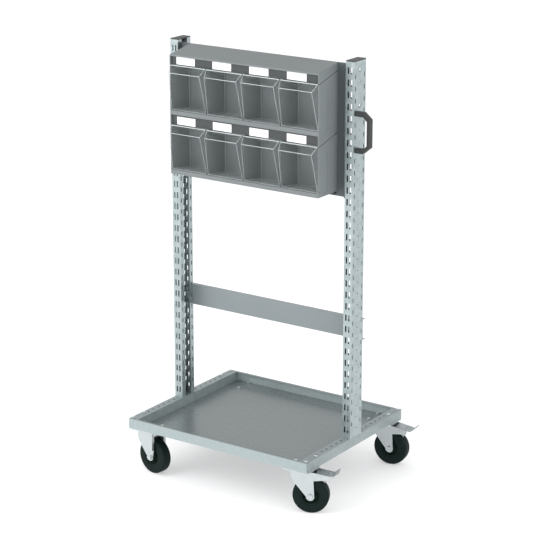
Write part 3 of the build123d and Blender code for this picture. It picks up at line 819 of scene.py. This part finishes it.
class Surface:
    """Puts arrays of points into meshes."""

    @staticmethod
    def grid_faces(rows: int, columns: int, close_rows: bool, close_columns: bool) -> np.ndarray:
        """Corner numbers of the quads of a point grid.

        Args:
            rows: Points along the first parameter.
            columns: Points along the second parameter.
            close_rows: Whether the last row joins the first.
            close_columns: Whether the last column joins the first.

        Returns:
            Array of quads, one row of four numbers each.
        """
        numbers = np.arange(rows * columns).reshape(rows, columns)
        down = np.roll(numbers, -1, axis=0)
        quads = np.stack(
            [numbers, np.roll(numbers, -1, axis=1), np.roll(down, -1, axis=1), down], axis=-1
        )
        quads = quads[: rows if close_rows else rows - 1, : columns if close_columns else columns - 1]
        return quads.reshape(-1, 4)

    @staticmethod
    def build(
        name: str, points: np.ndarray, faces: Sequence[np.ndarray], smooth: float
    ) -> bpy.types.Object:
        """Makes an object at the origin from points and faces.

        Args:
            name: Name of the piece.
            points: Points in the shared frame, in metres.
            faces: Arrays of faces, each with one row of corner numbers for a face.
            smooth: Greatest angle in degrees that is shaded smoothly.

        Returns:
            The linked object.
        """
        mesh = bpy.data.meshes.new(name)
        listed = [face for block in faces for face in block.tolist()]
        mesh.from_pydata(points.reshape(-1, 3).tolist(), [], listed)
        mesh.polygons.foreach_set("use_smooth", np.ones(len(mesh.polygons), dtype=bool))
        mesh.set_sharp_from_angle(angle=math.radians(smooth))
        mesh.update()
        made = bpy.data.objects.new(name, mesh)
        bpy.context.scene.collection.objects.link(made)
        return made

    @staticmethod
    def rods(
        starts: np.ndarray, stops: np.ndarray, radii: np.ndarray, sides: int
    ) -> Tuple[np.ndarray, List[np.ndarray]]:
        """Straight round rods with flat ends.

        A point of a rod is its start or stop plus its radius times a turning direction square to the
        rod, which goes once round in equal steps.

        Args:
            starts: Start points, (n, 3).
            stops: End points, (n, 3).
            radii: Radius of each rod, (n,).
            sides: Points round a rod.

        Returns:
            Points (n, 2, sides, 3) and the faces: walls, then both ends.
        """
        along = stops - starts
        along /= np.linalg.norm(along, axis=1, keepdims=True)
        mostly_x = np.abs(along[:, :1]) > 0.8
        helper = np.where(mostly_x, np.array([[0.0, 0.0, 1.0]]), np.array([[1.0, 0.0, 0.0]]))
        first = np.cross(along, helper)
        first /= np.linalg.norm(first, axis=1, keepdims=True)
        second = np.cross(along, first)
        angle = np.linspace(0.0, 2.0 * math.pi, sides, endpoint=False)
        cosine, sine = np.cos(angle)[None, :, None], np.sin(angle)[None, :, None]
        ring = (cosine * first[:, None] + sine * second[:, None]) * radii[:, None, None]
        points = np.stack([starts[:, None] + ring, stops[:, None] + ring], axis=1)
        numbers = np.arange(points.shape[0] * 2 * sides).reshape(-1, 2, sides)
        near, far = numbers[:, 0], numbers[:, 1]
        walls = np.stack([near, np.roll(near, -1, axis=1), np.roll(far, -1, axis=1), far], axis=-1)
        return points, [walls.reshape(-1, 4), near[:, ::-1], far]

    @staticmethod
    def rounded_loop(corners: np.ndarray, radii: np.ndarray, steps: int) -> np.ndarray:
        """A closed outline with its corners rounded.

        Each corner is replaced by the quadratic curve from a point one radius before it to a point
        one radius after it, with the corner as control point.

        Args:
            corners: Corner points of the outline, (n, 2).
            radii: Setback at each corner.
            steps: Points on each rounded corner.

        Returns:
            The outline's points, (n * steps, 2).
        """
        before = np.roll(corners, 1, axis=0) - corners
        after = np.roll(corners, -1, axis=0) - corners
        start = corners + before / np.linalg.norm(before, axis=1, keepdims=True) * radii[:, None]
        end = corners + after / np.linalg.norm(after, axis=1, keepdims=True) * radii[:, None]
        t = np.linspace(0.0, 1.0, steps)[None, :, None]
        ends = (1 - t) ** 2 * start[:, None] + t**2 * end[:, None]
        return (ends + 2 * t * (1 - t) * corners[:, None]).reshape(-1, 2)


@dataclass
class CastorWheel:
    """Tyre and wheel centre of one castor, turned about its axle.

    Sizes are in metres. Roundings are the setbacks at the corners of half an outline.
    """

    corner: Corner
    radius: float = 0.0625
    width: float = 0.037
    tyre_depth: float = 0.028
    tread_crown: float = 0.0008
    shoulder: float = 0.0075
    shoulder_drop: float = 0.0004
    line_width: float = 0.0012
    line_depth: float = 0.0007
    tyre_rounding: Tuple[float, ...] = (0.0008, 0.0004, 0.0005, 0.0062, 0.006)
    tyre_gap: float = 0.0001
    hub_lip: float = 0.0165
    hub_dish: float = 0.0075
    hub_rim: float = 0.006
    boss_radius: float = 0.0150
    boss_half: float = 0.0220
    boss_chamfer: float = 0.004
    dish_foot: float = 0.002
    dish_band: float = 0.0006
    centre_rounding: Tuple[float, ...] = (0.0006, 0.0012, 0.0012, 0.002, 0.004, 0.002, 0.0012, 0.0006)
    bore: float = 0.0064
    spoke_count: int = 5
    spoke_height: float = 0.0055
    spoke_steep: float = 2.2
    spoke_cut: float = 0.6
    spoke_fade: float = 8.0
    turns: int = 96

    def axle(self) -> Tuple[np.ndarray, np.ndarray, np.ndarray, np.ndarray]:
        """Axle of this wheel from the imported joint.

        Returns:
            Wheel centre, axle direction, and two directions square to it.
        """
        wanted = f"castor_{self.corner.value}_wheel_spin"
        joint = next(j for j in frame["joints"] if j["name"] == wanted)
        centre = np.array(joint["pos_m"], float)
        along = np.array(joint["axis"], float)
        along /= np.linalg.norm(along)
        up = np.array([0.0, 0.0, 1.0])
        return centre, along, np.cross(along, up), up

    def turned(self, reach: np.ndarray, offset: np.ndarray) -> np.ndarray:
        """Turns a closed profile about the axle.

        A point is the centre plus its offset along the axle plus its reach in the turning direction,
        which goes once round in equal steps.

        Args:
            reach: Distance from the axle, (turns, points).
            offset: Distance along the axle, (turns, points).

        Returns:
            Points, (turns, points, 3).
        """
        centre, along, forward, up = self.axle()
        angle = np.linspace(0.0, 2.0 * math.pi, self.turns, endpoint=False)[:, None, None]
        ring = np.cos(angle) * forward + np.sin(angle) * up
        return centre + offset[..., None] * along + reach[..., None] * ring

    def build_tyre(self) -> bpy.types.Object:
        """Tyre with rounded shoulders, a faint crown and a shallow moulding line on each flank."""
        half = self.width / 2
        inner = self.radius - self.tyre_depth
        flank = self.radius - self.shoulder
        side = np.array([
            (inner, -half),
            (flank - self.line_width, -half),
            (flank, -half + self.line_depth),
            (self.radius - self.tread_crown, -half + self.shoulder_drop),
        ])
        middle = np.array([(self.radius, 0.0)])
        corners = np.concatenate([side, middle, side[::-1] * np.array([1.0, -1.0])])
        radii = np.array(self.tyre_rounding + self.tyre_rounding[-2::-1])
        loop = Surface.rounded_loop(corners, radii, 7)
        reach = np.broadcast_to(loop[:, 0], (self.turns, len(loop)))
        offset = np.broadcast_to(loop[:, 1], (self.turns, len(loop)))
        points = self.turned(reach, offset)
        faces = Surface.grid_faces(self.turns, len(loop), True, True)
        name = f"wheel_tyre_{self.corner.value}"
        return Surface.build(name, points, [faces], 50.0)

    def build_centre(self) -> bpy.types.Object:
        """Dished wheel centre with raised spokes.

        The outline runs round rim, dish and boss. Over the dish the offset is raised by the spoke
        height times a smooth wave of the angle, faded out towards rim and boss.
        """
        rim_out = self.radius - self.tyre_depth - self.tyre_gap
        rim_in = rim_out - self.hub_rim
        side = np.array([
            (self.bore, self.boss_half),
            (self.boss_radius - self.boss_chamfer, self.boss_half),
            (self.boss_radius, self.boss_half - self.boss_chamfer),
            (self.boss_radius + self.dish_foot, self.hub_dish),
            (0.5 * (self.boss_radius + rim_in), self.hub_dish),
            (rim_in - self.dish_foot, self.hub_dish),
            (rim_in, self.hub_lip),
            (rim_out, self.hub_lip),
        ])
        corners = np.concatenate([side, side[::-1] * np.array([1.0, -1.0])])
        setback = np.array(self.centre_rounding + self.centre_rounding[::-1])
        loop = Surface.rounded_loop(corners, setback, 6)
        loop = loop[::-1]
        angle = np.linspace(0.0, 2.0 * math.pi, self.turns, endpoint=False)[:, None]
        wave = np.cos(self.spoke_count * angle) * self.spoke_steep - self.spoke_cut
        wave = np.clip(wave, 0.0, 1.0)
        wave = wave * wave * (3.0 - 2.0 * wave)
        dish_start = self.boss_radius + self.dish_foot
        inside = (loop[:, 0] - dish_start) / (rim_in - self.dish_foot - dish_start)
        fade = np.clip(np.minimum(inside, 1.0 - inside) * self.spoke_fade, 0.0, 1.0)
        dished = np.abs(np.abs(loop[:, 1]) - self.hub_dish) < self.dish_band
        lift = np.sign(loop[:, 1]) * self.spoke_height * fade * dished
        offset = loop[:, 1] + wave * lift
        reach = np.broadcast_to(loop[:, 0], offset.shape)
        points = self.turned(reach, offset)
        faces = Surface.grid_faces(self.turns, len(loop), True, True)
        return Surface.build(f"wheel_centre_{self.corner.value}", points, [faces], 40.0)

    def dress(self, palette: Palette) -> List[bpy.types.Object]:
        """Builds both pieces, gives them their finishes and lets them ride on the wheel.

        Args:
            palette: Source of the finishes.

        Returns:
            The two pieces.
        """
        key = f"castor_{self.corner.value}"
        made = []
        parts = (
            (self.build_tyre(), "tyre", "rubber", Slot.DARK_RUBBER),
            (self.build_centre(), "hub", "hub", Slot.DARK_PLASTIC),
        )
        for piece, node, finish, slot in parts:
            piece.data.materials.append(palette.get(finish))
            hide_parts(f"{key}_{node}")
            made.append(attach(piece, f"{key}_wheel"))
        return made


@dataclass(frozen=True)
class BinOutline:
    """Side outline of a bin, each point as depth and height from its pivot, in metres."""

    lip: Point = (-0.0088, 0.1502)
    nose: Point = (-0.0325, 0.1280)
    front_foot: Point = (-0.0040, -0.0026)
    back_foot: Point = (0.0962, -0.0158)
    back_top: Point = (0.0960, 0.1255)
    side_back: Point = (0.0885, 0.1150)
    side_dip: Point = (0.0520, 0.1290)
    taper: float = 0.0070
    stub: float = 0.00215
    inset: float = 0.0011


ACROSS_BEADS: Tuple[Tuple[str, float], ...] = (
    ("lip", 0.0016),
    ("nose", 0.0010),
    ("front_foot", 0.0007),
    ("back_foot", 0.0015),
    ("back_top", 0.0010),
)
SIDE_BEADS: Tuple[Tuple[str, str, float], ...] = (
    ("lip", "nose", 0.0006),
    ("nose", "front_foot", 0.0005),
    ("front_foot", "back_foot", 0.0014),
    ("back_foot", "back_top", 0.0015),
    ("back_top", "side_back", 0.0006),
    ("side_back", "side_dip", 0.0006),
    ("side_dip", "lip", 0.0007),
)


@dataclass
class BinEdges:
    """Moulded beads along the edges of one clear bin, where its plastic is seen end on and so denser; their paler
    colour is a painted highlight.
    """

    row: Row
    number: int
    outline: BinOutline = field(default_factory=BinOutline)
    sides: int = 8

    @property
    def body(self) -> str:
        """Name of the bin's body and node."""
        return f"bin_{self.row.value}_{self.number}"

    def segments(self) -> Tuple[np.ndarray, np.ndarray, np.ndarray]:
        """Straight pieces of bead.

        Beads across the bin run between its two ends at one point of the outline. Beads along its ends
        follow the outline from point to point. Each has its own radius.

        Returns:
            Start points (n, 3), end points (n, 3) and radii (n,).
        """
        shape = self.outline
        joint = next(j for j in frame["joints"] if j["name"] == f"{self.body}_tilt")
        low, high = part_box(self.body)
        left = low.x + shape.stub + shape.inset
        right = high.x - shape.stub - shape.inset
        ends = ((left, 1.0), (right, -1.0))

        def at(end: Tuple[float, float], name: str) -> Tuple[float, float, float]:
            """A named point of the outline at one end of the bin."""
            depth, height = getattr(shape, name)
            drawn_in = shape.taper * end[1] if name == "nose" else 0.0
            return end[0] + drawn_in, joint["pos_m"][1] + depth, joint["pos_m"][2] + height

        pieces = [(at(ends[0], name), at(ends[1], name), radius) for name, radius in ACROSS_BEADS]
        for end in ends:
            pieces += [(at(end, one), at(end, two), radius) for one, two, radius in SIDE_BEADS]
        starts, stops, radii = zip(*pieces)
        return np.array(starts), np.array(stops), np.array(radii)

    def dress(self, palette: Palette) -> List[bpy.types.Object]:
        """Builds the beads as one piece that tilts with its bin.

        Args:
            palette: Source of the finishes.

        Returns:
            The piece.
        """
        points, faces = Surface.rods(*self.segments(), self.sides)
        piece = Surface.build(f"{self.body}_edges", points, faces, 40.0)
        piece.data.materials.append(palette.get("clear_edge"))
        return [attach(piece, self.body)]


@dataclass
class Cabinet:
    """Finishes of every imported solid, by its slot or its own name."""

    special: Dict[str, str] = field(default_factory=lambda: dict(NODE_FINISH))

    def dress(self, palette: Palette) -> int:
        """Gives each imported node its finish.

        Args:
            palette: Source of the finishes.

        Returns:
            Number of nodes dressed.
        """
        slots = {part["node"]: part["material_slot"] for part in frame["record"]["subparts"]}
        for name, node in frame["nodes"].items():
            finish = self.special.get(name, SLOT_FINISH[slots[name]])
            node.data.materials.clear()
            node.data.materials.append(palette.get(finish))
        return len(frame["nodes"])


@dataclass(frozen=True)
class SoftBox:
    """A square lamp that points at the trolley; size and places in metres, power in watts."""

    name: str
    place: Tuple[float, float, float]
    power: float
    size: float
    aim: Tuple[float, float, float] = (0.0, 0.0, 0.8)

    def hang(self) -> None:
        """Adds the lamp to the scene."""
        data = bpy.data.lights.new(self.name, "AREA")
        data.energy = self.power
        data.size = self.size
        made = bpy.data.objects.new(self.name, data)
        made.location = self.place
        along = Vector(self.aim) - Vector(self.place)
        made.rotation_mode = "QUATERNION"
        made.rotation_quaternion = along.to_track_quat("-Z", "Y")
        bpy.context.scene.collection.objects.link(made)


@dataclass
class Studio:
    """Pale floor, soft light and the camera at the photograph's angle. Sizes in metres."""

    azimuth: float = 34.310
    elevation: float = 16.108
    lens: float = 133.86
    distance: float = 6.8614
    across: float = -0.0205
    height: float = 0.8247
    shift: float = -0.05
    sensor: float = 36.0
    clip: Point = (0.1, 200.0)
    floor_half: float = 30.0
    floor_points: int = 9
    surround: float = 1.0
    boxes: Tuple[SoftBox, ...] = (
        SoftBox("key_box", (-2.6, -3.4, 3.0), 120.0, 4.2),
        SoftBox("fill_box", (3.8, -1.6, 2.2), 60.0, 4.0),
    )

    def camera(self) -> None:
        """Places the camera on a sphere round its target and turns it to look there."""
        a, e = math.radians(self.azimuth), math.radians(self.elevation)
        back = Vector((math.sin(a) * math.cos(e), -math.cos(a) * math.cos(e), math.sin(e)))
        right = Vector((math.cos(a), math.sin(a), 0.0))
        target = right * self.across + Vector((0.0, 0.0, self.height))
        data = bpy.data.cameras.new("photo_camera")
        data.sensor_width = self.sensor
        data.lens = self.lens
        data.shift_y = self.shift
        data.clip_start, data.clip_end = self.clip
        made = bpy.data.objects.new("photo_camera", data)
        made.rotation_mode = "QUATERNION"
        made.location = target + back * self.distance
        made.rotation_quaternion = (-back).to_track_quat("-Z", "Y")
        bpy.context.scene.collection.objects.link(made)
        bpy.context.scene.camera = made

    def floor(self, palette: Palette) -> bpy.types.Object:
        """A wide floor, as a grid of points in a plane."""
        line = np.linspace(-self.floor_half, self.floor_half, self.floor_points)
        x, y = np.meshgrid(line, line, indexing="ij")
        points = np.stack([x, y, np.zeros_like(x)], axis=-1)
        faces = Surface.grid_faces(self.floor_points, self.floor_points, False, False)[:, ::-1]
        made = Surface.build("studio_floor", points, [faces], 30.0)
        made.data.materials.append(palette.get("floor"))
        return made

    def light(self) -> None:
        """A white surround and two large soft boxes."""
        scene = bpy.context.scene
        world = bpy.data.worlds.new("studio_surround")
        world.use_nodes = True
        background = world.node_tree.nodes["Background"]
        background.inputs["Color"].default_value = (1.0, 1.0, 1.0, 1.0)
        background.inputs["Strength"].default_value = self.surround
        scene.world = world
        for box in self.boxes:
            box.hang()
        scene.view_settings.view_transform = "Standard"
        scene.view_settings.look = "None"


def main() -> None:
    """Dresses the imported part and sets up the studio."""
    logging.basicConfig(level=logging.INFO, format="%(name)s: %(message)s")
    palette = Palette()
    LOG.info("dressed %d packed nodes", Cabinet().dress(palette))
    assemblies: List[Any] = [CastorWheel(corner) for corner in Corner]
    assemblies += [BinEdges(row, number) for row in Row for number in range(1, 5)]
    for assembly in assemblies:
        for piece in assembly.dress(palette):
            LOG.info("%s: %d faces", piece.name, len(piece.data.polygons))
    studio = Studio()
    studio.floor(palette)
    studio.light()
    studio.camera()


if __name__ == "__main__":
    main()
